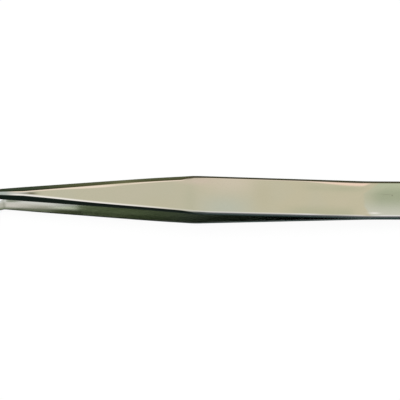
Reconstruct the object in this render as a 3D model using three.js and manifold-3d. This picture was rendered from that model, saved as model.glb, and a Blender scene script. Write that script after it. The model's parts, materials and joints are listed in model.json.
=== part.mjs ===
// Curved tweezers: two sprung steel arms, spot-welded back to back at the heel, with bevelled fronts that
// narrow into fine points, and points that sweep sideways in the plane of the arms.
//
// X runs along the tweezers with the heel at +X and the points at -X. Z is the direction in which the arms
// open, with the upper arm's broad face up. Y goes across the arms, and the points sweep towards -Y.
// A station is a length along an arm's centreline, measured from the heel end.
import * as THREE from "three";
import { mergeVertices } from "three/addons/utils/BufferGeometryUtils.js";
import Module from "manifold-3d";

// Driving dimensions: lengths in millimetres, angles in radians.
const degree = Math.PI / 180;

// Along an arm
const weldedLength = 12; // the two arms lie face to face up to here
const flexureBeyondWeld = 16; // the arm swings this far in front of the weld when it is squeezed
const shoulderAt = 58; // widest place, where the front taper starts
const elbowBeyondShoulder = 8.5; // seen from the side, the arm stops rising here
const taperLength = 51; // from the shoulder to the neck, where the point leaves the straight line
const grindBeforeNeck = 6; // from here the outer face is ground down towards the point
const neckRadius = 3; // tight bend that starts the sweep
const neckTurn = 16 * degree;
const sweepRadius = 32; // wide curve of the point itself
const sweepTurn = 32 * degree;

// Across an arm
const heelWidth = 10.2;
const shoulderWidth = 10.5;
const neckWidth = 2.85;
const pointWidth = 0.6;
const pointHollow = 1.3; // power of the point's taper: above 1 it narrows fastest next to the neck
const heelCornerRadius = 1.8;
const shoulderEase = 1.5; // half the length over which the shoulder's corner is rounded

// Through an arm
const stripThickness = 1;
const pointThickness = 0.45;

// Side profile: how the arm stands off the middle plane
const bowAngle = 4.38 * degree; // how steeply the arm rises from the weld to the elbow
const frontAngle = -0.2 * degree; // in front of the elbow the arms close in again a little
const heelBendEase = 2.5; // half the length of the bend at the end of the weld
const elbowEase = 8; // half the length of the bend at the elbow

// Edges
const edgeWidths = { outside: 0.42, inside: 0.22 }; // eased long edges, on either side of the point's curve
const edgeDrop = 0.16; // how far they fall
const bevelBeyondShoulder = 3.5; // where the ground bevel is at its full slope
const bevelRunOut = 3.2; // length over which it fades into the plain edge
const shoulderBevelWidths = { outside: 1.06, inside: 0.45 }; // the same where the bevels are full
const shoulderBevelDrop = 0.28;
const grindBevelWidths = { outside: 1.35, inside: 1.15 }; // the same where the grinding down starts
const grindBevelDrop = 0.45;
const neckRidge = 0.9; // flat left between the bevels at the neck
const pointRidge = 0.22; // and at the very point
const pointBevelDrop = 0.22;
const innerEdge = 0.12; // broken edge round the inner face
const cornerBlend = 0.12; // blend where two ground faces meet

// Welds
const weldPlaceShares = { rear_weld: 0.3, front_weld: 0.65 }; // of the welded length
const weldRadius = 1.4;
const weldHalfHeight = 0.45;

// Running and seating clearances
const flexureGap = 0.3;
const weldClearance = 0.15;

// How finely the surfaces are cut
const straightSpacing = 9; // length between the skin's rings where the arm is straight
const elbowSpacing = 4; // round the slow bend of the elbow
const bendSpacing = 1.25; // in the bend of the heel and round the swept point
const tightSpacing = 0.5; // at the shoulder's corner and the neck
const endCornerSteps = 6;
const blendSteps = 2;
const weldSides = 24;
const weldRings = 3;
const edgeShare = 0.4; // a blend takes no more than this share of a side next to it
const bevelShare = 0.8; // a bevel takes no more than this share of half the width
const tipCornerShare = 0.42; // radius of the point's end corners, as a share of its width
const sameVertex = 1e-4; // vertices and stations nearer than this are one

const bladeSteel = { color: 0xb9b49c, metalness: 1, roughness: 0.22 };
const weldSteel = { color: 0x8f8d86, metalness: 1, roughness: 0.5 };

// Stations that follow from them
const flexureAt = weldedLength + flexureBeyondWeld;
const bevelStart = shoulderAt + bevelBeyondShoulder;
const elbowAt = shoulderAt + elbowBeyondShoulder;
const neckAt = shoulderAt + taperLength;
const grindAt = neckAt - grindBeforeNeck;
const neckLength = neckRadius * neckTurn;
const pointAt = neckAt + neckLength + sweepRadius * sweepTurn;
const tipCornerRadius = pointWidth * tipCornerShare;

// 0 before the corner, a straight rise after it, and a parabola over the ease on both sides of it.
function softRamp(distance, ease) {
  if (distance <= -ease) return 0;
  if (distance >= ease) return distance;
  return (distance + ease) ** 2 / (4 * ease);
}

// The straight line from a at station p to b at station q, held at its ends.
function between(station, p, q, a, b) {
  return THREE.MathUtils.lerp(a, b, THREE.MathUtils.clamp((station - p) / (q - p), 0, 1));
}

// Where the centreline is in plan: straight, then a tight arc, then a wide one.
function spine(station) {
  const past = Math.max(station - neckAt, 0);
  const first = Math.min(past, neckLength) / neckRadius;
  const turn = first + Math.max(past - neckLength, 0) / sweepRadius;
  const along = neckRadius * Math.sin(first) + sweepRadius * (Math.sin(turn) - Math.sin(first));
  const aside = neckRadius * (1 - Math.cos(first)) + sweepRadius * (Math.cos(first) - Math.cos(turn));
  return { x: -Math.min(station, neckAt) - along, y: -aside, turn };
}

// Height of the inner face above the middle plane.
function standOff(station) {
  const rise = Math.tan(bowAngle) * softRamp(station - weldedLength, heelBendEase);
  const turn = Math.tan(bowAngle) - Math.tan(frontAngle);
  const fall = turn * softRamp(station - elbowAt, elbowEase);
  return Math.max(rise - fall, 0);
}

// Width in plan: nearly parallel behind the shoulder, a straight taper to the neck, then to the point.
function width(station) {
  const behind = (shoulderWidth - heelWidth) / shoulderAt;
  const front = (shoulderWidth - neckWidth) / taperLength;
  const turn = (behind + front) * softRamp(station - shoulderAt, shoulderEase);
  const shank = heelWidth + behind * station - turn;
  const ahead = between(station, neckAt, pointAt, 1, 0) ** pointHollow;
  const full = station < neckAt ? shank : pointWidth + (neckWidth - pointWidth) * ahead;
  const inset = cornerInset(station, heelCornerRadius) + cornerInset(pointAt - station, tipCornerRadius);
  return full - 2 * inset;
}

// How far a rounded end corner of this radius has drawn the side in, at a distance from the end.
function cornerInset(distance, radius) {
  const short = Math.max(radius - Math.max(distance, 0), 0);
  return radius - Math.sqrt(radius ** 2 - short ** 2);
}

function thickness(station) {
  return between(station, grindAt, pointAt, stripThickness, pointThickness);
}

// Width of the outer long edge: an eased corner behind the shoulder, a ground bevel in front of it.
// side is the outside or the inside of the point's curve.
function bevelWidth(station, side) {
  if (station > neckAt) {
    return (width(station) - between(station, neckAt, pointAt, neckRidge, pointRidge)) / 2;
  }
  if (station > grindAt) {
    return between(station, grindAt, neckAt, grindBevelWidths[side], (neckWidth - neckRidge) / 2);
  }
  const swell = between(station, bevelStart, grindAt, 0, 1) ** 2;
  const ground = THREE.MathUtils.lerp(shoulderBevelWidths[side], grindBevelWidths[side], swell);
  return between(station, bevelStart - bevelRunOut, bevelStart, edgeWidths[side], ground);
}

// How far that edge or bevel drops below the outer face.
function bevelDrop(station) {
  if (station > neckAt) return between(station, neckAt, pointAt, grindBevelDrop, pointBevelDrop);
  const ground = between(station, bevelStart, grindAt, shoulderBevelDrop, grindBevelDrop);
  return between(station, bevelStart - bevelRunOut, bevelStart, edgeDrop, ground);
}

// A polygon's corners replaced by short parabolas, each limited by the sides next to it.
function blendCorners(corners) {
  return corners.flatMap(([y, z, ease], i) => {
    const corner = new THREE.Vector2(y, z);
    const [before, after] = [corners.at(i - 1), corners[(i + 1) % corners.length]].map(([v, w]) => {
      const side = new THREE.Vector2(v, w).sub(corner);
      return side.setLength(Math.min(ease, edgeShare * side.length())).add(corner);
    });
    return new THREE.QuadraticBezierCurve(before, corner, after).getPoints(blendSteps);
  });
}

// The arm's cross-section, from the inner face at height 0 to the outer face, seen towards the point.
function section(station) {
  const half = width(station) / 2;
  const high = thickness(station);
  const edge = high - bevelDrop(station);
  const [inside, outside] = ["inside", "outside"].map(
    (side) => half - THREE.MathUtils.clamp(bevelWidth(station, side), 0, half * bevelShare),
  );
  return blendCorners([
    [-half, 0, innerEdge],
    [half, 0, innerEdge],
    [half, edge, cornerBlend],
    [inside, high, cornerBlend],
    [-outside, high, cornerBlend],
    [-half, edge, cornerBlend],
  ]);
}

// One ring of the arm's skin. side is 1 on the upper arm and -1 on the lower arm, its mirror image.
function ring(station, side) {
  const { x, y, turn } = spine(station);
  const base = standOff(station);
  const points = section(station).map(
    (p) => new THREE.Vector3(x + p.x * Math.sin(turn), y - p.x * Math.cos(turn), side * (base + p.y)),
  );
  return side > 0 ? points : points.reverse();
}

// A closed skin through rings of equal count, with flat ends.
function loft(rings) {
  const count = rings[0].length;
  const faces = [];
  for (let i = 0; i + 1 < rings.length; i++) {
    for (let j = 0; j < count; j++) {
      const [a, b] = [i * count + j, i * count + ((j + 1) % count)];
      faces.push(a, b, b + count, a, b + count, a + count);
    }
  }
  const last = (rings.length - 1) * count;
  for (let j = 1; j + 1 < count; j++) {
    faces.push(0, j + 1, j, last, last + j, last + j + 1);
  }
  return new THREE.BufferGeometry().setFromPoints(rings.flat()).setIndex(faces);
}

// Values from p to q in equal steps, with both ends.
function steps(p, q, count) {
  return Array.from({ length: count + 1 }, (_, i) => THREE.MathUtils.lerp(p, q, i / count));
}

// Stations from p to q at about this spacing, with both ends.
function stretch(p, q, spacing) {
  return steps(p, q, Math.max(Math.round((q - p) / spacing), 1));
}

// Distances from an end with corners of this radius, closer together where they turn most.
function cornerDistances(radius) {
  return steps(0, Math.PI / 2, endCornerSteps).map((angle) => radius * (1 - Math.cos(angle)));
}

function ascending(stations) {
  const sorted = stations.toSorted((a, b) => a - b);
  return sorted.filter((s, i) => i === 0 || s - sorted[i - 1] > sameVertex);
}

// The welded tang and the first stretch of the arm, up to the flexure.
function heelGeometry(side) {
  const bendStart = weldedLength - heelBendEase;
  const bendEnd = weldedLength + heelBendEase;
  const stations = ascending([
    ...cornerDistances(heelCornerRadius),
    ...stretch(heelCornerRadius, bendStart, straightSpacing),
    ...stretch(bendStart, bendEnd, bendSpacing),
    ...stretch(bendEnd, flexureAt - flexureGap / 2, straightSpacing),
  ]);
  return loft(stations.map((station) => ring(station, side)));
}

// The arm in front of the flexure, with its shoulder, its bevels and its swept point.
function armGeometry(side) {
  const elbowStart = elbowAt - elbowEase;
  const elbowEnd = elbowAt + elbowEase;
  const stations = ascending([
    ...stretch(flexureAt + flexureGap / 2, elbowStart, straightSpacing),
    ...stretch(elbowStart, elbowEnd, elbowSpacing),
    ...stretch(shoulderAt - shoulderEase, shoulderAt + shoulderEase, tightSpacing),
    ...stretch(bevelStart - bevelRunOut, bevelStart, bendSpacing),
    ...stretch(elbowEnd, grindAt, straightSpacing),
    ...stretch(grindAt, neckAt, straightSpacing),
    ...stretch(neckAt, neckAt + neckLength, tightSpacing),
    ...stretch(neckAt + neckLength, pointAt - tipCornerRadius, bendSpacing),
    ...cornerDistances(tipCornerRadius).map((inward) => pointAt - inward),
  ]);
  return loft(stations.map((station) => ring(station, side)));
}

// A weld nugget: a flat lens that grew across the seam, or the pocket that it fills.
function nuggetGeometry(clearance) {
  const outline = steps(-Math.PI / 2, Math.PI / 2, 2 * weldRings).map(
    (angle) =>
      new THREE.Vector2(
        (weldRadius + clearance) * Math.cos(angle),
        (weldHalfHeight + clearance) * Math.sin(angle),
      ),
  );
  outline[0].x = 0;
  outline.at(-1).x = 0;
  return new THREE.LatheGeometry(outline, weldSides).rotateX(Math.PI / 2);
}

const wasm = await Module();
wasm.setup();

function solid(geometry) {
  const bare = geometry.clone().deleteAttribute("normal").deleteAttribute("uv");
  const merged = mergeVertices(bare, sameVertex);
  return new wasm.Manifold(
    new wasm.Mesh({
      numProp: 3,
      vertProperties: merged.attributes.position.array,
      triVerts: new Uint32Array(merged.index.array),
    }),
  );
}

function geometryOf(made) {
  const { vertProperties, triVerts } = made.getMesh();
  return new THREE.BufferGeometry()
    .setAttribute("position", new THREE.BufferAttribute(vertProperties, 3))
    .setIndex(new THREE.BufferAttribute(triVerts, 1));
}

// The heel with half a pocket for each nugget in its inner face.
function pocketedHeel(side) {
  const pockets = Object.values(weldPlaceShares).map((share) =>
    solid(nuggetGeometry(weldClearance).translate(-share * weldedLength, 0, 0)),
  );
  return geometryOf(pockets.reduce((heel, pocket) => heel.subtract(pocket), solid(heelGeometry(side))));
}

function mesh(name, geometry, finish) {
  const made = new THREE.Mesh(geometry, new THREE.MeshStandardMaterial(finish));
  geometry.computeVertexNormals();
  made.name = name;
  return made;
}

// An arm hangs in a group whose origin is the line that it swings about.
function swingingArm(name, side) {
  const pivot = new THREE.Group();
  pivot.position.set(-flexureAt, 0, side * (standOff(flexureAt) + stripThickness / 2));
  const { x, y, z } = pivot.position;
  pivot.add(mesh(name, armGeometry(side).translate(-x, -y, -z), bladeSteel));
  return pivot;
}

function buildTweezers() {
  const body = new THREE.Group();
  body.add(mesh("upper_heel", pocketedHeel(1), bladeSteel));
  body.add(mesh("lower_heel", pocketedHeel(-1), bladeSteel));
  for (const [name, share] of Object.entries(weldPlaceShares)) {
    const nugget = mesh(name, nuggetGeometry(0), weldSteel);
    nugget.position.x = -share * weldedLength;
    body.add(nugget);
  }
  body.add(swingingArm("upper_arm", 1));
  body.add(swingingArm("lower_arm", -1));
  return body;
}

// The part's origin is the middle of the rectangle it covers, on the surface it stands on.
function standOnOrigin(body) {
  const box = new THREE.Box3().setFromObject(body);
  const middle = box.getCenter(new THREE.Vector3());
  body.position.set(-middle.x, -middle.y, -box.min.z);
  return new THREE.Group().add(body);
}

export default standOnOrigin(buildTweezers());
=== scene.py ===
# %% [markdown]
# Curved tweezers, dressed for a photograph. The real object is two strips of spring steel, welded face to
# face at the heel, that bow apart and run out into fine, sideways-curved points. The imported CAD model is
# the frame: it fixes the size, the place and how each arm swings. Here each arm becomes one unbroken strip
# with rounded edges and a hand-polished finish, on a plain light set such as a photographer would build.

# %% The frame and its box
import json

import bpy
import numpy as np
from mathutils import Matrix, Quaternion, Vector


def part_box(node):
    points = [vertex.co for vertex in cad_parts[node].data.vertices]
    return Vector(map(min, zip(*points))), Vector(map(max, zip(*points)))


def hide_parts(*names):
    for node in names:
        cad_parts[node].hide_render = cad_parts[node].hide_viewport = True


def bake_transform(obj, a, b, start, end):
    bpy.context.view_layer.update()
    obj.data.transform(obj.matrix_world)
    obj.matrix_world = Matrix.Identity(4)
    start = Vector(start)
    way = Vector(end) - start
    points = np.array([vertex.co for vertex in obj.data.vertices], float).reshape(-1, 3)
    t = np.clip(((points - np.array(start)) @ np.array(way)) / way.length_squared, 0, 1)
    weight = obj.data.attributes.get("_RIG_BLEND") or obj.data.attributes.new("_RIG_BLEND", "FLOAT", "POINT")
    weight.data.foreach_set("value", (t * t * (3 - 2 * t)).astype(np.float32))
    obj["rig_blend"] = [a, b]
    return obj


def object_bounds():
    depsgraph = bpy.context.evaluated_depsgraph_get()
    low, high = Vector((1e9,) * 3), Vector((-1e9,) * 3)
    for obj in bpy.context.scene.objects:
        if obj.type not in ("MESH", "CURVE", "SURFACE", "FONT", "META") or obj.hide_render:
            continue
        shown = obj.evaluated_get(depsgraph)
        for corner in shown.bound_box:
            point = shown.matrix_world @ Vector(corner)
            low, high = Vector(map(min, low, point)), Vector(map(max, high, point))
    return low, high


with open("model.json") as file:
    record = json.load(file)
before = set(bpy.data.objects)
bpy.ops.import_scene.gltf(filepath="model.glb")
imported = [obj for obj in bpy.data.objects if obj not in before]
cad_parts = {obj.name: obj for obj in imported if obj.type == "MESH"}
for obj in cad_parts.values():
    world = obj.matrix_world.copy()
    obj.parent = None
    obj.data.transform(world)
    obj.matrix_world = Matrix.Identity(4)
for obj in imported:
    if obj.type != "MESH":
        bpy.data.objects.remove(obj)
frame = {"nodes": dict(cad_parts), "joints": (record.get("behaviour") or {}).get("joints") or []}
cad_box = [list(corner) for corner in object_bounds()]
print("CAD box", cad_box)

# %% [markdown]
# Everything below is placed from four things that the frame gives: where the heel ends, the plane in which
# the two arms meet, the centreline, and the station of the flexure. A station is a length along an arm's
# centreline, measured from the heel end, so a shape on the arm can be written as a function of its station
# alone. These places could be typed in as numbers, but read from the frame they can't disagree with it.

# %% Places that the frame gives
mm = 0.001
degree = np.pi / 180


def in_mm(length):
    """A length as text, in millimetres."""
    return f"{length / mm:.2f} mm"


tang_low, tang_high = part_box("upper_heel")
heel_end = tang_high.x
middle_plane = tang_low.z
flexure = Vector(frame["joints"][0]["pos_m"])
centreline = flexure.y
flexure_at = heel_end - flexure.x
print("heel end", in_mm(heel_end), "middle plane", in_mm(middle_plane), "flexure at", in_mm(flexure_at))

# %% [markdown]
# The arm's own sizes come next. They are the CAD model's, because dressing must not change the object.
# What is new is the rounding of each long edge, which is too fine for the CAD solid but draws the bright
# lines along a polished arm.

# %% Sizes along the arm
welded_length = 12 * mm  # the arms lie face to face up to here
shoulder_at = 58 * mm  # widest place
elbow_at = shoulder_at + 8.5 * mm  # seen from the side, the arm stops rising here
neck_at = shoulder_at + 51 * mm  # the point leaves the straight line here
grind_at = neck_at - 6 * mm  # the outer face is ground down from here
bevel_start = shoulder_at + 3.5 * mm
bevel_run_out = 3.2 * mm
neck_radius = 3 * mm
neck_turn = 16 * degree
sweep_radius = 32 * mm
sweep_turn = 32 * degree
neck_length = neck_radius * neck_turn
point_at = neck_at + neck_length + sweep_radius * sweep_turn
heel_bend_ease = 2.5 * mm  # half the length of the bend at the end of the weld
elbow_ease = 8 * mm
shoulder_ease = 1.5 * mm
bow_slope = np.tan(4.38 * degree)
front_slope = np.tan(-0.2 * degree)
print("station of the very point", in_mm(point_at))

# %% Sizes across the arm
heel_width = 10.2 * mm
shoulder_width = 10.5 * mm
neck_width = 2.85 * mm
point_width = 0.6 * mm
point_hollow = 1.3  # above 1 the point narrows fastest next to the neck
strip_thickness = 1 * mm
point_thickness = 0.45 * mm
heel_corner_radius = 1.8 * mm
point_corner_radius = 0.42 * point_width
# the long edges are named by their side of the point's curve
edge_widths = {"outside": 0.42 * mm, "inside": 0.22 * mm}
edge_drop = 0.16 * mm
shoulder_bevels = {"outside": 1.06 * mm, "inside": 0.45 * mm}
grind_bevels = {"outside": 1.35 * mm, "inside": 1.15 * mm}
shoulder_bevel_drop, grind_bevel_drop, point_bevel_drop = 0.28 * mm, 0.45 * mm, 0.22 * mm
neck_ridge, point_ridge = 0.9 * mm, 0.22 * mm  # flat left between the two bevels
print("from", in_mm(heel_width), "wide at the heel to", in_mm(point_width), "at the point")

# %% [markdown]
# A bend that a press makes is not a kink: the strip goes from one straight line to the next over a short
# length. It could be an arc fitted between the two lines. A parabola does the same with one formula, and it
# works on a whole array of stations at once.

# %% Helpers for a size that changes along the arm
def soft_ramp(distance, ease):
    """0 before the corner, the distance itself after it, and a parabola over the ease on both sides of it."""
    return np.where(distance > ease, distance, np.clip(distance + ease, 0, None) ** 2 / (4 * ease))


def between(station, p, q, a, b):
    """The straight line from a at station p to b at station q, held at its ends."""
    return a + (b - a) * np.clip((station - p) / (q - p), 0, 1)


def corner_inset(distance, radius):
    """How far a round end corner draws the side in: radius minus the height of a circle at that distance."""
    short = np.clip(radius - np.clip(distance, 0, None), 0, None)
    return radius - np.sqrt(radius**2 - short**2)


print("the elbow is rounded off by", in_mm((bow_slope - front_slope) * soft_ramp(0, elbow_ease)))

# %% The arm's course in plan and from the side
def spine(station):
    """Straight along -X to the neck, then a tight and a wide arc to -Y. Gives x, y and the angle turned."""
    past = np.clip(station - neck_at, 0, None)
    first = np.minimum(past, neck_length) / neck_radius
    turn = first + np.clip(past - neck_length, 0, None) / sweep_radius
    along = neck_radius * np.sin(first) + sweep_radius * (np.sin(turn) - np.sin(first))
    aside = neck_radius * (1 - np.cos(first)) + sweep_radius * (np.cos(first) - np.cos(turn))
    return heel_end - np.minimum(station, neck_at) - along, centreline - aside, turn


def stand_off(station):
    """Height of the inner face over the middle plane: it rises from the weld and levels out at the elbow."""
    rise = bow_slope * soft_ramp(station - welded_length, heel_bend_ease)
    fall = (bow_slope - front_slope) * soft_ramp(station - elbow_at, elbow_ease)
    return np.clip(rise - fall, 0, None)


def width(station):
    """Nearly parallel to the shoulder, a straight taper to the neck, a finer one on, round end corners."""
    behind = (shoulder_width - heel_width) / shoulder_at
    ahead = (shoulder_width - neck_width) / (neck_at - shoulder_at)
    past_shoulder = soft_ramp(station - shoulder_at, shoulder_ease)
    shank = heel_width + behind * station - (behind + ahead) * past_shoulder
    narrowing = between(station, neck_at, point_at, 1, 0) ** point_hollow
    point = point_width + (neck_width - point_width) * narrowing
    full = np.where(station < neck_at, shank, point)
    heel_inset = corner_inset(station, heel_corner_radius)
    return full - 2 * (heel_inset + corner_inset(point_at - station, point_corner_radius))


def thickness(station):
    """The full strip, ground down towards the point."""
    return between(station, grind_at, point_at, strip_thickness, point_thickness)


print("at the neck the arms stand apart by", in_mm(2 * stand_off(neck_at)))

# %% [markdown]
# In front of the shoulder the long edges carry ground bevels. A grinder holds the arm by hand, so the bevel
# on the outside of the curve is a little wider than the one inside, and both swell towards the neck. Behind
# the shoulder the edge is only eased. A Bevel modifier would give every edge one width, so here the width
# and the drop are functions of the station too.

# %% The ground bevels
def bevel_width(station, side):
    """An eased edge, a bevel that grows with the square of the way to the neck, what the ridge leaves."""
    growth = between(station, bevel_start, grind_at, 0, 1) ** 2
    ground = shoulder_bevels[side] + growth * (grind_bevels[side] - shoulder_bevels[side])
    shank = between(station, bevel_start - bevel_run_out, bevel_start, edge_widths[side], ground)
    neck = between(station, grind_at, neck_at, grind_bevels[side], (neck_width - neck_ridge) / 2)
    point = (width(station) - between(station, neck_at, point_at, neck_ridge, point_ridge)) / 2
    return np.where(station > neck_at, point, np.where(station > grind_at, neck, shank))


def bevel_drop(station):
    """How far the edge or bevel falls below the outer face."""
    ground = between(station, bevel_start, grind_at, shoulder_bevel_drop, grind_bevel_drop)
    shank = between(station, bevel_start - bevel_run_out, bevel_start, edge_drop, ground)
    point = between(station, neck_at, point_at, grind_bevel_drop, point_bevel_drop)
    return np.where(station > neck_at, point, shank)


for side in ("outside", "inside"):
    print("bevel", side, "the curve, where the grind starts:", in_mm(bevel_width(grind_at, side)))

# %% [markdown]
# The cross-section is a polygon of six corners whose corners are rounded. Each corner is replaced by a
# parabola between a point on the side before it and a point on the side after it. On the flats between the
# corners a few more points keep the shading flat up to the rounding. A circle would round a corner as well,
# but the parabola needs no centre, whatever the angle is. The ridge and the edge outside the curve are left
# crisper than those inside it, which wear more.

# %% The cross-section
corner_count = 6
inner_blend = 0.08 * mm  # where wall and inner face meet
edge_blends = {"outside": 0.05 * mm, "inside": 0.1 * mm}  # where wall and bevel meet
ridge_blends = {"outside": 0.06 * mm, "inside": 0.14 * mm}  # where bevel and face meet
blend_steps = 6
flat_shares = np.array([0.03, 0.25, 0.5, 0.75, 0.97])
bevel_limit_share = 0.8  # of half the width
blend_limit_share = 0.45  # of the side that it lies on


def ridges(station):
    """Distance across from the centreline to the two lines where the bevels meet the outer face."""
    half = width(station) / 2
    return {side: half - np.clip(bevel_width(station, side), 0, half * bevel_limit_share)
            for side in ("inside", "outside")}


def six_corners(station):
    """Corners of the section, from the inner face at height 0: stations x 6 x 2."""
    half, high = width(station) / 2, thickness(station)
    edge = high - bevel_drop(station)
    ridge = ridges(station)
    zero = np.zeros_like(station)
    pairs = [(-half, zero), (half, zero), (half, edge), (ridge["inside"], high), (-ridge["outside"], high),
             (-half, edge)]
    return np.stack([np.stack(pair, -1) for pair in pairs], 1)


def section(station):
    """Each corner as the parabola (1-t)^2 a + 2t(1-t) corner + t^2 b, and the flats cut at a few shares."""
    corner = six_corners(station)
    eases = [inner_blend, inner_blend, edge_blends["inside"], ridge_blends["inside"], ridge_blends["outside"],
             edge_blends["outside"]]
    starts, ends = [], []
    for k, ease in enumerate(eases):
        here = corner[:, k]
        following = corner[:, (k + 1) % corner_count]
        for other, kept in ((corner[:, k - 1], starts), (following, ends)):
            length = np.linalg.norm(other - here, axis=1, keepdims=True)
            kept.append(here + (other - here) / length * np.minimum(ease, blend_limit_share * length))
    points, zones = [], []
    t = np.linspace(0, 1, blend_steps + 1)[:, None, None]
    for k in range(corner_count):
        curve = (1 - t) ** 2 * starts[k] + 2 * t * (1 - t) * corner[:, k] + t**2 * ends[k]
        flat = ends[k] + flat_shares[:, None, None] * (starts[(k + 1) % corner_count] - ends[k])
        points += [*curve, *flat]
        # a zone is the number of the flat: 0 inner face, 1 and 5 walls, 2 and 4 bevels, 3 outer face
        zones += [*(k - 1 + t[:, 0, 0]), *np.full(len(flat_shares), k)]
    return np.stack(points, 1), np.array(zones) % corner_count


print("points round the section", section(np.array([shoulder_at]))[0].shape[1])

# %% [markdown]
# An arm could be a box with a Curve modifier, but its section changes all the way along. So the skin is a
# loft: it carries the section along the spine and turns it with the sweep. The rings stand closer at the
# ends, where the thickness is drawn in too, so that the end edges are broken like the long ones.

# %% The arm's skin
end_round = 0.14 * mm
end_rings = 9
ring_spacing = 0.5 * mm
ring_decimals = 8  # stations in metres that agree to this many decimals are one ring


def ring_stations():
    """Stations of the rings: the steps of a quarter circle at each end, and an even spacing between them."""
    fine = 1 - np.cos(np.linspace(0, np.pi / 2, end_rings))
    heel = np.concatenate([end_round * fine, end_round + (heel_corner_radius - end_round) * fine])
    point = point_at - point_corner_radius * fine
    run = np.arange(heel_corner_radius, point_at - point_corner_radius, ring_spacing)
    return np.unique(np.round(np.concatenate([heel, run, point]), ring_decimals))


def arm_skin(side):
    """Rings x points x 3 on one arm. side is 1 for the upper arm and -1 for the lower, its mirror image."""
    station = ring_stations()
    x, y, turn = spine(station)
    flat, zone = section(station)
    end = corner_inset(station, end_round)[:, None]
    height = np.clip(flat[..., 1], end, thickness(station)[:, None] - end)
    height = height + stand_off(station)[:, None]
    across = flat[..., 0]
    points = np.stack([
        x[:, None] + across * np.sin(turn)[:, None],
        y[:, None] - across * np.cos(turn)[:, None],
        middle_plane + side * height,
    ], -1)
    return station, across, zone, points


print("rings along an arm", len(ring_stations()))

# %% Closed meshes from rings
def closed_mesh(name, points, flip):
    """Quads between neighbouring rings and one flat face at each end; flip turns a mirror image's faces."""
    rings, around = points.shape[:2]
    index = np.arange(rings * around).reshape(rings, around)
    after = np.roll(index, -1, 1)
    quads = np.stack([index[:-1], after[:-1], after[1:], index[1:]], -1).reshape(-1, 4)
    ends = [index[0][::-1], index[-1]]
    if flip:
        quads = quads[:, ::-1]
        ends = [end[::-1] for end in ends]
    mesh = bpy.data.meshes.new(name)
    mesh.from_pydata(points.reshape(-1, 3).tolist(), [], quads.tolist() + [end.tolist() for end in ends])
    smooth = np.ones(len(quads) + len(ends), bool)
    smooth[-len(ends):] = False
    mesh.polygons.foreach_set("use_smooth", smooth)
    mesh.update()
    piece = bpy.data.objects.new(name, mesh)
    bpy.context.scene.collection.objects.link(piece)
    print(name, len(mesh.vertices), "vertices")
    return piece


# %% [markdown]
# Each vertex carries a few numbers: its station, its distance across, how far it lies from each ridge and
# from the edge, and on which face it is. The finish is painted by them later. A UV map could do that too,
# but these are lengths in metres, so a mark on the steel can be placed as if with a ruler.

# %% Numbers that the finish reads
flats = {"wall": (1, 5), "inner": (0,), "outer": (3,)}


def near(zone, flat):
    """1 on the flat of that number, falling to 0 across the blends on both sides of it."""
    away = np.abs(zone - flat)
    return np.clip(1 - np.minimum(away, corner_count - away), 0, 1)


def point_attribute(piece, name, values):
    """One number for each vertex, which the material reads by name."""
    attribute = piece.data.attributes.new(name, "FLOAT", "POINT")
    attribute.data.foreach_set("value", np.asarray(values, np.float32).ravel())


def mark_vertices(piece, station, across, zone):
    """Writes the numbers of one arm: lengths in metres, and for each kind of face a share from 0 to 1."""
    ring = np.ones((len(station), len(zone)))
    ridge = ridges(station)
    point_attribute(piece, "along", station[:, None] * ring)
    point_attribute(piece, "across", across)
    point_attribute(piece, "inside_ridge", across - ridge["inside"][:, None])
    point_attribute(piece, "outside_ridge", -across - ridge["outside"][:, None])
    point_attribute(piece, "from_edge", width(station)[:, None] / 2 - across)
    for kind, numbers in flats.items():
        share = sum(near(zone, number) for number in numbers) * ring
        share[[0, -1]] = kind == "wall"  # the two end faces are walls too
        point_attribute(piece, kind, share)
    print(piece.name, "carries", len(piece.data.attributes), "attributes")


# %% [markdown]
# Each arm stands for two CAD nodes, its tang and its swinging part, and bends between their two bodies as
# the real strip does. The bend could be one sharp fold at the flexure, but a spring has none, so it is
# spread evenly on both sides of the flexure, from the end of the weld. Heel and front stay straight.

# %% Both arms
arms = {}
for name, side, body in (("upper_arm_strip", 1, "upper"), ("lower_arm_strip", -1, "lower")):
    station, across, zone, points = arm_skin(side)
    piece = closed_mesh(name, points, flip=side < 0)
    mark_vertices(piece, station, across, zone)
    stretch = flexure_at - welded_length
    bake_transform(piece, "heel", body,
             start=(heel_end - welded_length, centreline, middle_plane),
             end=(heel_end - flexure_at - stretch, centreline, middle_plane))
    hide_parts(f"{body}_heel", f"{body}_arm")
    arms[body] = piece

# %% [markdown]
# Polished stainless steel is a mirror that is not quite smooth. A metal has no colour but that of its
# reflection, so the base colour is the tint of the steel, and most layers over it are painted reflections,
# painted highlights and painted shade of what the steel mirrors. An image could hold the tint, but it would
# blur where a line is finer than its pixels. Here the tint is built in layers, as a painter would: each layer
# has a colour and a mask, which says where it lies and how strong it is. The masks are ramps and bell curves
# over the vertices' numbers, so a mark follows the curve of the points.

# %% Helpers for materials
def node(tree, kind, inputs=None, **settings):
    """A shader node with its settings, and its inputs as values or as sockets to link."""
    made = tree.nodes.new(kind)
    for key, value in settings.items():
        setattr(made, key, value)
    for key, value in (inputs or {}).items():
        if isinstance(value, bpy.types.NodeSocket):
            tree.links.new(value, made.inputs[key])
        else:
            made.inputs[key].default_value = value
    return made


def new_material(name):
    """An empty node material and its tree."""
    material = bpy.data.materials.new(name)
    material.use_nodes = True
    material.node_tree.nodes.clear()
    return material, material.node_tree


def layer(tree, mask, first, second):
    """first where the mask is 0, second where it is 1. Inputs 0, 6 and 7 are the mask and the two colours."""
    return node(tree, "ShaderNodeMix", {0: mask, 6: first, 7: second}, data_type="RGBA").outputs[2]


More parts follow.
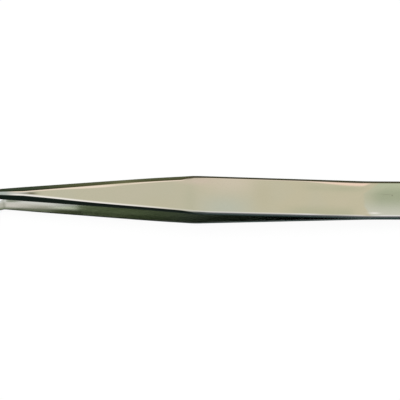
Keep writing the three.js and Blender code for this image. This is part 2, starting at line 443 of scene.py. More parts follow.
def ramp(tree, value, low, high, to_low=0.0, to_high=1.0):
    """A value from the range low to high carried to another range along an S-curve, and held at its ends."""
    inputs = {"Value": value, "From Min": low, "From Max": high, "To Min": to_low, "To Max": to_high}
    return node(tree, "ShaderNodeMapRange", inputs, interpolation_type="SMOOTHSTEP").outputs["Result"]


def work_out(tree, operation, *values):
    """One Math node."""
    return node(tree, "ShaderNodeMath", dict(enumerate(values)), operation=operation).outputs[0]


def product(tree, first, *others):
    """Two or more values multiplied."""
    for other in others:
        first = work_out(tree, "MULTIPLY", first, other)
    return first


# %% Helpers that place a mark on the strip
shank_range = (62 * mm, 56 * mm)


def strip_numbers(tree):
    """The numbers that each vertex of an arm carries, by name."""
    names = ("along", "across", "inside_ridge", "outside_ridge", "from_edge", "wall", "inner", "outer")
    return {key: node(tree, "ShaderNodeAttribute", attribute_name=key).outputs["Fac"] for key in names}


def bell(tree, value, place, reach):
    """e to the power of minus the square of the distance to the place over the reach."""
    off = work_out(tree, "DIVIDE", work_out(tree, "SUBTRACT", value, place), reach)
    return work_out(tree, "EXPONENT", product(tree, off, off, -1.0))


def swell(tree, mark, place, reach, height):
    """A bell curve along the arm, times a height."""
    return product(tree, bell(tree, mark["along"], place, reach), height)


def spot(tree, mark, along, across, reach_along, reach_across, strength):
    """A soft oval round a place on the strip: the product of two bell curves and a strength."""
    return product(tree, bell(tree, mark["along"], along, reach_along),
                   bell(tree, mark["across"], across, reach_across), strength)


def along_arm(tree, mark, start, end, at_start=0.0, at_end=1.0):
    """A ramp between two stations."""
    return ramp(tree, mark["along"], start, end, at_start, at_end)


def on_shank(tree, mark):
    """0 in front of the shoulder and 1 behind it, where the edge is only eased."""
    return along_arm(tree, mark, *shank_range)


print("the front gives way to the shank from", in_mm(shank_range[0]), "to", in_mm(shank_range[1]))

# %% [markdown]
# The broad face is a warm olive grey, a shade warmer behind the shoulder: the steel's own tint with the warm
# light that it mirrors painted in. Over it lie painted reflections: slow clouds lean it to pink and to green,
# and soft spots set the larger patches. The olive spots near the heel are painted shade under the pink
# crescent, and a darker olive band runs along the shank on the side inside the curve. Noise alone would give
# only the clouds.

# %% Tints of the broad face
front_steel = (0.505, 0.478, 0.35, 1)
shank_steel = (0.53, 0.487, 0.342, 1)
face_pinker = (0.60, 0.505, 0.405, 1)
face_greener = (0.47, 0.478, 0.38, 1)
face_pink_spot = (0.60, 0.53, 0.41, 1)
face_grey_spot = (0.48, 0.495, 0.40, 1)
face_olive = (0.45, 0.44, 0.30, 1)
face_ochre = (0.505, 0.468, 0.325, 1)
face_drab = (0.475, 0.46, 0.33, 1)
# station, distance across, reach along and across in mm, strength and tint of each painted reflection spot
painted_reflection_spots = (
    (48.5, -4, 7.5, 3.5, 0.95, face_pink_spot),
    (50, 3.7, 8, 4, 0.92, face_grey_spot),
    (40, 0, 2.8, 5, 0.8, face_ochre),
    (59.3, 2, 2, 5, 0.8, face_drab),
    (67, 3, 4, 2, 0.4, face_ochre),
    (56.3, -4, 3.2, 1.2, 0.8, face_pinker),
    (59.5, -3.5, 4, 0.6, 0.45, face_pinker),
    (18.5, -2.8, 6, 0.9, 0.85, face_olive),
    (26, -2.8, 3, 0.9, 0.5, face_olive),
)
front_range = (52 * mm, 66 * mm)
cloud_noise = {"Scale": 90.0, "Detail": 2.0}
green_clouds = (0.5, 0.75, 0.0, 0.2)  # noise from and to, strength from and to
pink_clouds = (0.5, 0.25, 0.0, 0.12)
# a darker olive band along the shank on the side inside the curve: its side, its end in front, its end at the
# heel
band_across = (1.4 * mm, 4.2 * mm)
band_front = (38 * mm, 28 * mm, 0.0, 0.9)
band_heel = (14 * mm, 18 * mm)
print("soft spots on the broad face", len(painted_reflection_spots))


def broad_face(tree, mark, place):
    """Two tints with a ramp between them, then the painted clouds, the painted spots and the olive band."""
    tint = layer(tree, along_arm(tree, mark, *front_range), shank_steel, front_steel)
    cloud = node(tree, "ShaderNodeTexNoise", {"Vector": place, **cloud_noise}).outputs["Fac"]
    tint = layer(tree, ramp(tree, cloud, *green_clouds), tint, face_greener)
    tint = layer(tree, ramp(tree, cloud, *pink_clouds), tint, face_pinker)
    for *oval, strength, colour in painted_reflection_spots:
        lengths = [length * mm for length in oval]
        tint = layer(tree, spot(tree, mark, *lengths, strength), tint, colour)
    band = product(tree, ramp(tree, mark["across"], *band_across), along_arm(tree, mark, *band_front),
                   along_arm(tree, mark, *band_heel))
    return layer(tree, band, tint, face_olive)


# %% [markdown]
# Where the points are ground down the steel is cooler: its ground finish, with a painted reflection of the
# ground face laid over it. The polished face runs out on it in a V. In the tip of the V, a small brown patch
# with a tail is painted shade, where the face turns down onto the ground part. A real hollow could be cut
# into the mesh, but it would be only a few hundredths of a millimetre deep, so the tint alone shows it.

# %% The ground end of the face
point_steel = (0.40, 0.435, 0.405, 1)
ground_steel = (0.50, 0.485, 0.44, 1)
dark_flaw_and_shade_steel = (0.15, 0.135, 0.085, 1)
v_tip_at = neck_at - 6.7 * mm  # the middle of the face reaches this far, and its sides fall back
v_slope = 4.4
v_soft = 0.4 * mm
cooler_range = (neck_at - 4.5 * mm, neck_at)
# place and reach along and across, and strength
v_shade_spot = (neck_at - 8.1 * mm, 0.06 * mm, 1.6 * mm, 0.36 * mm, 0.95)
v_shade_tail = (neck_at - 6.5 * mm, 0.16 * mm, 1.5 * mm, 0.2 * mm, 0.8)
print("the polished face ends at station", in_mm(v_tip_at))


def ground_end(tree, mark, tint):
    """The V is where the station plus a slope times the distance aside passes the place of its tip."""
    aside = work_out(tree, "ABSOLUTE", mark["across"])
    v_place = work_out(tree, "MULTIPLY_ADD", aside, v_slope, mark["along"])
    ground = layer(tree, along_arm(tree, mark, *cooler_range), ground_steel, point_steel)
    tint = layer(tree, ramp(tree, v_place, v_tip_at - v_soft, v_tip_at + v_soft), tint, ground)
    # painted shade in the tip of the V
    v_shade_mask = work_out(tree, "MAXIMUM", spot(tree, mark, *v_shade_spot), spot(tree, mark, *v_shade_tail))
    return layer(tree, v_shade_mask, tint, dark_flaw_and_shade_steel)


# %% [markdown]
# The heel carries a painted reflection of the surroundings seen through the bend: a duller green, darkest
# along its middle, greener towards the outside of the curve and lighter towards the inside. It ends at the
# bend in a line that falls back towards both sides. A curve could be drawn for that border, but two sloping
# lines, and the larger of the two at each place, give it with no drawing.

# %% The painted reflection on the heel
heel_start = (0.475, 0.47, 0.335, 1)
heel_dark = (0.36, 0.39, 0.265, 1)
heel_upper = (0.46, 0.49, 0.34, 1)
heel_lower = (0.55, 0.55, 0.455, 1)
border_at = 13.3 * mm
border_soft = (-0.8 * mm, 0.3 * mm)
darkest_at = 8 * mm
border_sides = ((-1.4, -2.1 * mm), (0.6, -1.2 * mm))  # slope and shift of each side
upper_range = (-1.4 * mm, -4.6 * mm)
lower_range = (-0.7 * mm, 4.6 * mm)
print("the painted heel reflection ends at station", in_mm(border_at))


def painted_heel_reflection(tree, mark, tint):
    """The border: slope times distance across plus shift, or 0 if that is more, is added to the station."""
    bend = 0.0
    for slope, shift in border_sides:
        bend = work_out(tree, "MAXIMUM", work_out(tree, "MULTIPLY_ADD", mark["across"], slope, shift), bend)
    place = work_out(tree, "ADD", bend, mark["along"])
    heel = layer(tree, ramp(tree, place, border_at, darkest_at), heel_start, heel_dark)
    heel = layer(tree, ramp(tree, mark["across"], *upper_range), heel, heel_upper)
    heel = layer(tree, ramp(tree, mark["across"], *lower_range), heel, heel_lower)
    low, high = border_soft
    return layer(tree, ramp(tree, place, border_at + low, border_at + high), heel, tint)


# %% [markdown]
# The two long ridges mirror bright light, and these highlights are painted into the tint. A bright row of
# faces could show that, but it would need a far finer mesh. The mark follows the distance to the ridge
# instead, so it is as sharp as a scratch however wide the faces are. The painted highlight inside the curve
# is white, and comes and goes along the arm. The one outside it is warm. It is widest in the middle of the
# front, and widens again as a pink crescent near the heel.

# %% Painted highlights on the ridges
highlight_steel = (0.93, 0.885, 0.825, 1)
highlight_cool = (0.97, 0.93, 0.94, 1)
highlight_warm = (0.82, 0.70, 0.56, 1)
highlight_pink = (0.83, 0.635, 0.495, 1)
lines_end = (104 * mm, 108 * mm, 1.0, 0.0)  # both lines stop short of the neck
# the white line: ranges with their strengths, and swells as place, reach and height
white_front = (66 * mm, 84 * mm, 0.72, 1.0)
white_shank = (28.5 * mm, 3 * mm, 0.45)
white_gaps = ((22 * mm, 4 * mm, 0.35), (12 * mm, 1.6 * mm, 0.5))
white_heel = (8 * mm, 11.5 * mm, 1.0, 0.0)
white_dulled = (62 * mm, 4 * mm, 0.6)
white_reach, white_full_share = 0.65 * mm, 0.1
# the warm line
warm_reach, warm_full_share = 0.34 * mm, 0.5
warm_swell = (83 * mm, 9 * mm, 0.5 * mm)
warm_start = (10.4 * mm, 12.8 * mm)
warm_faint = (77 * mm, 3.2 * mm, 0.45)
pink_range = (32 * mm, 18 * mm)
crescent_reach = 1.05 * mm
crescent_front = (31 * mm, 15 * mm)
crescent_heel = (11.2 * mm, 13.6 * mm, 0.4, 1.0)
print("the warm line is", in_mm(warm_reach), "wide, and in the crescent up to", in_mm(crescent_reach), "more")


def highlight_line(tree, distance, reach, strength, full_share):
    """Strength from the ridge to a share of the reach, 0 from the reach on. Distances are negative there."""
    share = work_out(tree, "DIVIDE", distance, reach)
    return product(tree, ramp(tree, share, -1.0, -full_share), strength)


def crescent(tree, mark):
    """0 on the shank, rising to 1 where the painted highlight widens to a crescent, and falling again at the
    heel.
    """
    return product(tree, along_arm(tree, mark, *crescent_front), along_arm(tree, mark, *crescent_heel))


def white_strength(tree, mark):
    """Front plus shank less the larger gap, or the heel where that is more, and dulled near the shoulder."""
    line = work_out(tree, "ADD", along_arm(tree, mark, *white_front), swell(tree, mark, *white_shank))
    gap = work_out(tree, "MAXIMUM", *[swell(tree, mark, *place) for place in white_gaps])
    line = work_out(tree, "SUBTRACT", line, gap)
    line = work_out(tree, "MAXIMUM", line, along_arm(tree, mark, *white_heel))
    dulled = work_out(tree, "SUBTRACT", 1.0, swell(tree, mark, *white_dulled))
    return product(tree, line, dulled, along_arm(tree, mark, *lines_end))


def paint_ridge_highlights(tree, mark, tint):
    """The painted white highlight on the ridge inside the curve and the warm one on the ridge outside it."""
    white = highlight_line(tree, mark["inside_ridge"], white_reach, white_strength(tree, mark), white_full_share)
    reach = work_out(tree, "ADD", swell(tree, mark, *warm_swell), warm_reach)
    reach = work_out(tree, "MULTIPLY_ADD", crescent(tree, mark), crescent_reach, reach)
    run = product(tree, along_arm(tree, mark, *lines_end), along_arm(tree, mark, *warm_start),
                  work_out(tree, "SUBTRACT", 1.0, swell(tree, mark, *warm_faint)))
    warm = highlight_line(tree, mark["outside_ridge"], reach, run, warm_full_share)
    white_tint = layer(tree, on_shank(tree, mark), highlight_steel, highlight_cool)
    warm_tint = layer(tree, along_arm(tree, mark, *pink_range), highlight_warm, highlight_pink)
    return layer(tree, warm, layer(tree, white, tint, white_tint), warm_tint)


# %% [markdown]
# A used tool has small flaws: here a pit with a hairline scratch in front of it, both on the heel, and beside
# them a bright painted highlight. They could be dents in the mesh, but they are finer than its faces, so each
# is one more soft oval, very long and thin where it is a scratch.

# %% Flaws and a painted highlight on the heel
# place and reach along and across, and strength
pit = (5.5 * mm, -1.1 * mm, 0.15 * mm, 0.15 * mm, 0.8)
scratch = (6.9 * mm, -1.3 * mm, 1.2 * mm, 0.09 * mm, 0.35)
heel_highlight = (10.5 * mm, 3.9 * mm, 1.4 * mm, 0.22 * mm, 0.7)
print("flaws and highlight at stations", in_mm(pit[0]), in_mm(scratch[0]), in_mm(heel_highlight[0]))


def add_flaws_and_highlight(tree, mark, tint):
    """The dark pit and scratch, then the bright painted highlight."""
    dark = work_out(tree, "MAXIMUM", spot(tree, mark, *pit), spot(tree, mark, *scratch))
    tint = layer(tree, dark, tint, dark_flaw_and_shade_steel)
    return layer(tree, spot(tree, mark, *heel_highlight), tint, highlight_steel)


# %% [markdown]
# The bevels are ground, and they mirror darker surroundings than the face does; that dark reflection is
# painted into their tint. The one outside the curve is green, browner along its ridge, and carries a painted
# highlight over a short stretch. The one inside is nearly black. One dark colour would be simpler, but the
# tint changes along the arm as the reflection does.

# %% Painted reflections on the bevels
bevel_steel = (0.18, 0.18, 0.12, 1)
bevel_point_steel = (0.085, 0.105, 0.085, 1)
bevel_brown = (0.13, 0.095, 0.05, 1)
bevel_point_brown = (0.04, 0.035, 0.022, 1)
edge_steel = (0.10, 0.09, 0.06, 1)
inside_bevel_steel = (0.019, 0.0275, 0.0235, 1)
inside_edge_steel = (0.215, 0.21, 0.235, 1)
bevel_point_range = (88 * mm, 103 * mm)
brown_point_range = (85 * mm, 100 * mm)
brown_across = (0.1 * mm, 0.6 * mm, 0.9, 0.0)
ridge_highlight_across = (0.04 * mm, 0.22 * mm, 0.9, 0.0)
ridge_highlight_along = (78 * mm, 7 * mm)
bevel_highlight = (76.5 * mm, 3.5 * mm, 0.16)
inside_edge_range = (59 * mm, 54.5 * mm)
sides_meet = (-0.01 * mm, 0.01 * mm)
print("the bevel outside the curve is brown to", in_mm(brown_across[1]), "from its ridge")


def bevel_tint(tree, mark):
    """The outside bevel, its brown ridge and its painted highlight, then the eased edge, then the inside
    bevel: all painted reflection.
    """
    tint = layer(tree, along_arm(tree, mark, *bevel_point_range), bevel_steel, bevel_point_steel)
    brown = layer(tree, along_arm(tree, mark, *brown_point_range), bevel_brown, bevel_point_brown)
    tint = layer(tree, ramp(tree, mark["outside_ridge"], *brown_across), tint, brown)
    # a painted highlight along the outside ridge, and on the bevel over a short stretch
    bevel_highlight_mask = product(tree, ramp(tree, mark["outside_ridge"], *ridge_highlight_across),
                   bell(tree, mark["along"], *ridge_highlight_along))
    tint = layer(tree, bevel_highlight_mask, tint, highlight_warm)
    tint = layer(tree, swell(tree, mark, *bevel_highlight), tint, highlight_warm)
    tint = layer(tree, on_shank(tree, mark), tint, edge_steel)
    edge = along_arm(tree, mark, *inside_edge_range)
    inside = layer(tree, edge, inside_bevel_steel, inside_edge_steel)
    return layer(tree, ramp(tree, mark["across"], *sides_meet), tint, inside)


# %% [markdown]
# The inner faces mirror the other arm and the dark gap between the arms, and that is painted into their tint:
# they are greener and duller than the outer ones, with painted shade along the edge inside the curve. The
# inside of the points, which grips, is painted bright, a painted reflection. That bright face starts on a
# slant. At its start it has a dull patch and a painted highlight streak; it has a painted highlight in the
# middle; and before the neck it has a dark rim and a dark line at the crease, both painted shade. It could be
# a material of its own, but then its border would follow the rings of the mesh, and the real one doesn't.

# %% Painted reflections and shade on the inner face
inner_front_steel = (0.41, 0.455, 0.355, 1)
inner_shank_steel = (0.38, 0.41, 0.37, 1)
inner_edge_steel = (0.095, 0.112, 0.062, 1)
grip_steel = (0.60, 0.61, 0.56, 1)
grip_shade_steel = (0.44, 0.435, 0.37, 1)
grip_bright_steel = (0.68, 0.65, 0.59, 1)
grip_edge_steel = (0.20, 0.225, 0.16, 1)
grip_streak_steel = (0.80, 0.86, 0.72, 1)
grip_range = (86.5 * mm, 91 * mm)
grip_slant = 5  # the grip starts this much further back per length towards the outside of the curve
inner_dim = (69.5 * mm, 6.5 * mm, 0.12)
shade_across = (2.5 * mm, 1.4 * mm)
shade_along = (94 * mm, 99 * mm)
dull_patch = (92 * mm, -0.1 * mm, 3.5 * mm, 0.6 * mm, 0.9)
grip_highlight_streak = (92.8 * mm, 1.05 * mm, 4 * mm, 0.4 * mm, 0.7)
grip_highlight_middle = (108 * mm, 0.4 * mm, 5 * mm, 1 * mm, 0.6)
rim_across = (-0.4 * mm, -0.8 * mm)
rim_along = (107.5 * mm, 2.6 * mm, 0.85)
neck_range = (neck_at + 0.3 * mm, neck_at - 0.3 * mm)
# a dark line of painted shade at the crease of the neck
crease_shade = (neck_at + 0.6 * mm, 0.3 * mm, 0.25)
print("the grip starts at station", in_mm(grip_range[0]))


def grip_tint(tree, mark, tint):
    """The painted bright reflection inside the points and a dim stretch behind it, then the painted marks on
    the grip, one by one.
    """
    slanted = work_out(tree, "MULTIPLY_ADD", mark["across"], -grip_slant, mark["along"])
    tint = layer(tree, ramp(tree, slanted, *grip_range), tint, grip_steel)
    tint = layer(tree, swell(tree, mark, *inner_dim), tint, inner_edge_steel)
    shade = product(tree, ramp(tree, mark["from_edge"], *shade_across), along_arm(tree, mark, *shade_along))
    tint = layer(tree, shade, tint, grip_shade_steel)
    tint = layer(tree, spot(tree, mark, *dull_patch), tint, inner_shank_steel)
    tint = layer(tree, spot(tree, mark, *grip_highlight_streak), tint, grip_streak_steel)
    behind_neck = along_arm(tree, mark, *neck_range)
    bright = product(tree, spot(tree, mark, *grip_highlight_middle), behind_neck)
    tint = layer(tree, bright, tint, grip_bright_steel)
    rim = product(tree, ramp(tree, mark["across"], *rim_across), swell(tree, mark, *rim_along), behind_neck)
    tint = layer(tree, rim, tint, grip_edge_steel)
    return layer(tree, swell(tree, mark, *crease_shade), tint, inner_edge_steel)


# %% The painted shade along the edge of the inner face
inner_front_range = (56 * mm, 74 * mm)
dark_edge = (1.6 * mm, 0.75 * mm)
edge_narrows = (91 * mm, 107 * mm, 0.0, 0.6 * mm)
edge_first_rise = (63 * mm, 75 * mm, 0.0, 0.5)
edge_second_rise = (84 * mm, 91 * mm)
edge_lighter_range = (94 * mm, 99 * mm)
print("the dark edge reaches in by", in_mm(dark_edge[0]), "and narrows by", in_mm(edge_narrows[3]))


def inner_tint(tree, mark):
    """The dull face and the grip, then a band of painted shade along the edge, darker in two steps and
    narrower in front.
    """
    front = along_arm(tree, mark, *inner_front_range)
    tint = grip_tint(tree, mark, layer(tree, front, inner_shank_steel, inner_front_steel))
    from_edge = work_out(tree, "ADD", mark["from_edge"], along_arm(tree, mark, *edge_narrows))
    strength = work_out(tree, "MAXIMUM", along_arm(tree, mark, *edge_first_rise),
                        along_arm(tree, mark, *edge_second_rise))
    band = product(tree, ramp(tree, from_edge, *dark_edge), strength)
    lighter = along_arm(tree, mark, *edge_lighter_range)
    return layer(tree, band, tint, layer(tree, lighter, inner_edge_steel, grip_edge_steel))


# %% [markdown]
# A sheared side wall mirrors whatever lies beside it, and that reflection is painted into its tint: nearly
# black in front, and bluer and lighter on the shank. It could have marks as the faces do, but two tints and a
# ramp are enough on so thin a line.

# %% Painted reflection on the walls
wall_steel = (0.10, 0.12, 0.09, 1)
shank_wall_steel = (0.49, 0.62, 0.61, 1)
wall_range = (62 * mm, 50 * mm)
print("the walls lighten from", in_mm(wall_range[0]), "to", in_mm(wall_range[1]))


def wall_tint(tree, mark):
    """Two tints with a ramp across the shoulder."""
    return layer(tree, along_arm(tree, mark, *wall_range), wall_steel, shank_wall_steel)


# %% [markdown]
# A ridge mirrors something darker than the flats beside it, so each painted highlight has a dark line of
# painted reflection next to it: one outside the curve, which fades in front of the shoulder, and one inside
# it on the shank, which passes on to a finer one in front. Sharper corners in the mesh would draw them too,
# but only as wide as the rounding is. In two places the inside ridge's painted lines are moved over towards
# the edge.

# %% Painted dark reflections along the ridges
inside_line_steel = (0.2, 0.21, 0.2, 1)
inside_ridge_steel = (0.07, 0.09, 0.075, 1)
line_darkens = (53 * mm, 55.5 * mm)
# swells as place, reach and height
ridge_shifts = ((96 * mm, 8 * mm, 0.14 * mm), (58.3 * mm, 2.2 * mm, 0.12 * mm))
outside_shift = (58.5 * mm, 3.2 * mm, 0.11 * mm)
crescent_shift = 0.12 * mm
outside_fades = (62 * mm, 58.5 * mm)
# distance from the ridge at which each line starts and is at its full strength
outside_line = (-0.22 * mm, -0.08 * mm)
inside_line = (-0.34 * mm, -0.06 * mm)
front_line = (-0.02 * mm, 0.04 * mm)
print("the dark lines start", in_mm(-outside_line[0]), "and", in_mm(-inside_line[0]), "from their ridges")


def shift_inside_ridge(tree, mark):
    """The distance to the inside ridge plus a bell curve for each shifted place."""
    bevel_highlight_mask = work_out(tree, "ADD", *[swell(tree, mark, *place) for place in ridge_shifts])
    return work_out(tree, "ADD", mark["inside_ridge"], bevel_highlight_mask)


def dark_lines(tree, mark, face):
    """Three lines, each a ramp of the distance to its ridge times the share of the arm that it runs on."""
    outside = work_out(tree, "MULTIPLY_ADD", crescent(tree, mark), crescent_shift, mark["outside_ridge"])
    outside = work_out(tree, "ADD", swell(tree, mark, *outside_shift), outside)
    fading = along_arm(tree, mark, *outside_fades)
    darkening = along_arm(tree, mark, *line_darkens)
    inside_tint = layer(tree, darkening, inside_line_steel, inside_ridge_steel)
    shank = on_shank(tree, mark)
    front = work_out(tree, "SUBTRACT", 1.0, shank)
    for distance, line, share, colour in ((outside, outside_line, fading, edge_steel),
                                          (mark["inside_ridge"], inside_line, shank, inside_tint),
                                          (mark["inside_ridge"], front_line, front, inside_ridge_steel)):
        face = layer(tree, product(tree, ramp(tree, distance, *line), share), face, colour)
    return face


# %% [markdown]
# The polish leaves very fine grain along the arm. It could be an anisotropic shader, but real grain also
# shows as hair-fine strokes. So it is a noise drawn out forty times along the arm, which sets the gloss and
# a bump less than a hundredth of a millimetre deep.

# %% The steel of an arm
stroke_scale = (400.0, 16000.0, 1.0)
stroke_noise = {"Scale": 1.0, "Detail": 4.0}
polish_gloss = (0.3, 0.7, 0.12, 0.2)  # noise from and to, roughness from and to
polish_bump = {"Strength": 0.04, "Distance": 0.02 * mm}


def metal(tree, tint, grain, gloss, bump):
    """A metal shader whose roughness and relief follow the grain."""
    relief = node(tree, "ShaderNodeBump", {"Height": grain, **bump}).outputs[0]
    inputs = {"Base Color": tint, "Roughness": ramp(tree, grain, *gloss), "Metallic": 1.0, "Normal": relief}
    shader = node(tree, "ShaderNodeBsdfPrincipled", inputs).outputs[0]
    node(tree, "ShaderNodeOutputMaterial", {"Surface": shader})


def arm_steel(name):
    """The tints of the faces, each where the vertices say that its face is, over fine grain."""
    material, tree = new_material(name)
    mark = strip_numbers(tree)
    mark["inside_ridge"] = shift_inside_ridge(tree, mark)
    place = node(tree, "ShaderNodeTexCoord").outputs["Object"]
    face = painted_heel_reflection(tree, mark, ground_end(tree, mark, broad_face(tree, mark, place)))
    face = dark_lines(tree, mark, add_flaws_and_highlight(tree, mark, paint_ridge_highlights(tree, mark, face)))
    tint = layer(tree, mark["outer"], bevel_tint(tree, mark), face)
    tint = layer(tree, mark["inner"], tint, inner_tint(tree, mark))
    tint = layer(tree, mark["wall"], tint, wall_tint(tree, mark))
    strip = node(tree, "ShaderNodeCombineXYZ", {"X": mark["along"], "Y": mark["across"]}).outputs[0]
    stroke = node(tree, "ShaderNodeMapping", {"Vector": strip, "Scale": stroke_scale}).outputs[0]
    grain = node(tree, "ShaderNodeTexNoise", {"Vector": stroke, **stroke_noise}).outputs["Fac"]
    metal(tree, tint, grain, polish_gloss, polish_bump)
    print(name, "has", len(tree.nodes), "nodes")
    return material


for body, piece in arms.items():
    piece.data.materials.append(arm_steel(f"{body}_arm_steel"))

# %% [markdown]
# The weld nuggets lie between the tangs and nothing shows of them, but whoever takes the model apart meets
# them. A fused spot is duller and greyer than the strip, with a grainy skin. It could be sculpted, but the
# CAD nodes have the right shape, so they stay and only get this finish.

# %% The weld nuggets
weld_noise = {"Scale": 3000.0, "Detail": 3.0}
weld_dark = (0.42, 0.41, 0.38, 1)
weld_light = (0.55, 0.53, 0.49, 1)
weld_gloss = (0.3, 0.7, 0.4, 0.6)
weld_bump = {"Strength": 0.2, "Distance": 0.05 * mm}


def weld_steel(name):
    """Dull fused metal with a grain on Object coordinates."""
    material, tree = new_material(name)
    place = node(tree, "ShaderNodeTexCoord").outputs["Object"]
    grain = node(tree, "ShaderNodeTexNoise", {"Vector": place, **weld_noise}).outputs["Fac"]
    metal(tree, layer(tree, grain, weld_dark, weld_light), grain, weld_gloss, weld_bump)
    return material


fused = weld_steel("fused_steel")
for name in ("rear_weld", "front_weld"):
    nugget = frame["nodes"][name].data
    nugget.materials.clear()
    nugget.materials.append(fused)
    print(name, "is finished as", fused.name)

# %% [markdown]
# The set is a pale table under a pale tent of light. A very bright lamp would make the table white, but
# burn the steel out with it. So what the camera, a polished face and a glass see behind the object is plain
# white by itself, and the lamp stays weak. The table mixes a little of its true shading into that white,
# so a faint shadow of the arms remains.

# %% The table and the tent
plain_white = (1, 1, 1, 1)
table_paper = (0.95, 0.95, 0.95, 1)
table_size, table_drop = 3.0, 0.05 * mm
white_share = 0.92
tent_level = 0.9


def seen_directly(tree):
    """1 for camera, glossy and transmission rays, 0 for the rays that carry soft light."""
    path = node(tree, "ShaderNodeLightPath").outputs
    first = work_out(tree, "MAXIMUM", path["Is Camera Ray"], path["Is Glossy Ray"])
    return work_out(tree, "MAXIMUM", first, path["Is Transmission Ray"])


def pale_table():
    """Paper whose shading is mixed with plain white for direct rays."""
    material, tree = new_material("pale_table")
    paper = node(tree, "ShaderNodeBsdfDiffuse", {"Color": table_paper}).outputs[0]
    white = node(tree, "ShaderNodeEmission", {"Color": plain_white, "Strength": 1.0}).outputs[0]
    share = product(tree, seen_directly(tree), white_share)
    mixed = node(tree, "ShaderNodeMixShader", {0: share, 1: paper, 2: white}).outputs[0]
    node(tree, "ShaderNodeOutputMaterial", {"Surface": mixed})
    return material


def light_tent():
    """World: white for direct rays and a softer level for the rest."""
    world = bpy.data.worlds.new("tent")
    world.use_nodes = True
    tree = world.node_tree
    tree.nodes.clear()
    soft = node(tree, "ShaderNodeBackground", {"Color": plain_white, "Strength": tent_level}).outputs[0]
    white = node(tree, "ShaderNodeBackground", {"Color": plain_white, "Strength": 1.0}).outputs[0]
    mixed = node(tree, "ShaderNodeMixShader", {0: seen_directly(tree), 1: soft, 2: white}).outputs[0]
    node(tree, "ShaderNodeOutputWorld", {"Surface": mixed})
    bpy.context.scene.world = world


def flat_board(name, corners, material):
    """One face through four corners, with its material."""
    mesh = bpy.data.meshes.new(name)
    mesh.from_pydata(corners, [], [(0, 1, 2, 3)])
    mesh.materials.append(material)
    board = bpy.data.objects.new(name, mesh)
    bpy.context.scene.collection.objects.link(board)
    return board


half_table = table_size / 2
sides = ((-1, -1), (1, -1), (1, 1), (-1, 1))
corners = [(x * half_table, y * half_table, -table_drop) for x, y in sides]
table = flat_board("table_top", corners, pale_table())
light_tent()
print("the table is", table_size, "m wide and lies", in_mm(table_drop), "under the object")

# %% [markdown]
# A photographer of polished metal draws its edges with flags: darker cards outside the picture that the
# bevels mirror, so that they stand out against the white. Two long cards stand behind and in front, and two
# lie on the table, one for the walls and one for the inner faces. Darker paint on the steel could do that in
# one view, but a card's reflection moves as it should when the view changes; the bevels, walls and inner
# faces carry painted dark reflections in their tints as well. Each card is seen by glossy rays alone, so it
# takes no light from the table.

# %% The flags
arc_distance, arc_half_length = 0.7, 0.3
# angles from the zenith towards +Y at which a standing card starts and ends, and its tint
standing_cards = {
    "back_flag": (36 * degree, 93 * degree, (0.45, 0.505, 0.355, 1)),
    "front_flag": (-17 * degree, -92 * degree, (0.34, 0.38, 0.35, 1)),
}
low, high = cad_box
card_margin = 5 * mm
# where along X a lying card starts, how far along Y it reaches, and its tint
lying_cards = {
    "front_table_flag": (low[0] - card_margin, -80 * mm, (0.045, 0.062, 0.06, 1)),
    "back_table_flag": (heel_end - 91.5 * mm, 14 * mm, (0.22, 0.27, 0.16, 1)),
}


def card(name, corners, colour):
    """A flat emitting card through four corners that only reflections see."""
    material, tree = new_material(name)
    glow = node(tree, "ShaderNodeEmission", {"Color": colour, "Strength": 1.0}).outputs[0]
    node(tree, "ShaderNodeOutputMaterial", {"Surface": glow})
    made = flat_board(name, corners, material)
    made.visible_camera = False
    made.visible_diffuse = False
    made.visible_shadow = False
    made.visible_transmission = False
    print(name, "ends at", [in_mm(length) for length in corners[2]])


for name, (start, end, colour) in standing_cards.items():
    corners = [(side * arc_half_length, arc_distance * np.sin(angle), arc_distance * np.cos(angle))
               for side, angle in ((-1, start), (1, start), (1, end), (-1, end))]
    card(name, corners, colour)

for name, (start, edge, colour) in lying_cards.items():
    end = high[0] + card_margin
    card(name, [(start, edge, 0), (end, edge, 0), (end, 0, 0), (start, 0, 0)], colour)

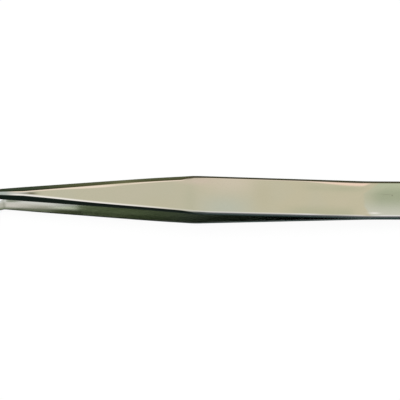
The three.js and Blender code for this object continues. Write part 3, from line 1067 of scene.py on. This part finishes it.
# %% [markdown]
# One broad lamp over the table gives the soft light and a faint shadow. A small lamp would draw a hard
# shadow, and its own bright square on the steel, so this one is large and hidden from reflections.

# %% The lamp
lamp_place = (-0.1, 0.15, 0.8)
lamp_size = (0.5, 0.4)
lamp_power = 3.0

lamp_data = bpy.data.lights.new("tent_lamp", "AREA")
lamp_data.shape = "RECTANGLE"
lamp_data.size, lamp_data.size_y = lamp_size
lamp_data.energy = lamp_power
lamp = bpy.data.objects.new("tent_lamp", lamp_data)
lamp.location = lamp_place
lamp.rotation_euler = (-Vector(lamp_place)).to_track_quat("-Z", "Y").to_euler()
lamp.visible_glossy = False
bpy.context.scene.collection.objects.link(lamp)
print("lamp at", lamp_place, "m, of", lamp_power, "W, turned to the middle of the table")

# %% [markdown]
# The camera stands where the photographer's did. It could be set by eye, but the gap between the arms
# changes with the angle, so the outlines of both arms fix it: a view along +Y, 71 degrees above the table
# and 300 mm away, with a lens of about 101 mm. The picture crops the points and the end of the heel.

# %% The camera
view_elevation = 71 * degree
view_distance = 300 * mm
view_roll = 0.003
view_centre = Vector((heel_end - 56.63 * mm, centreline - 0.02 * mm, middle_plane))
film_width = 36
frame_width, lens_in_pixels = 400, 1125.6
near_limit, far_limit = 0.01, 10

back = Vector((0, -np.cos(view_elevation), np.sin(view_elevation)))
lens = bpy.data.cameras.new("camera")
lens.sensor_width = film_width
lens.lens = film_width * lens_in_pixels / frame_width
lens.clip_start, lens.clip_end = near_limit, far_limit
camera = bpy.data.objects.new("camera", lens)
bpy.context.scene.collection.objects.link(camera)
camera.location = view_centre + view_distance * back
turn = (-back).to_track_quat("-Z", "Y") @ Quaternion((0, 0, 1), view_roll)
camera.rotation_euler = turn.to_euler()
bpy.context.scene.camera = camera
bpy.context.scene.view_settings.view_transform = "Standard"
print("camera at", [in_mm(length) for length in camera.location], "with a lens of", lens.lens, "mm")

# %% [markdown]
# Last, the view layer is brought up to date.

# %% Bringing the scene up to date
bpy.context.view_layer.update()
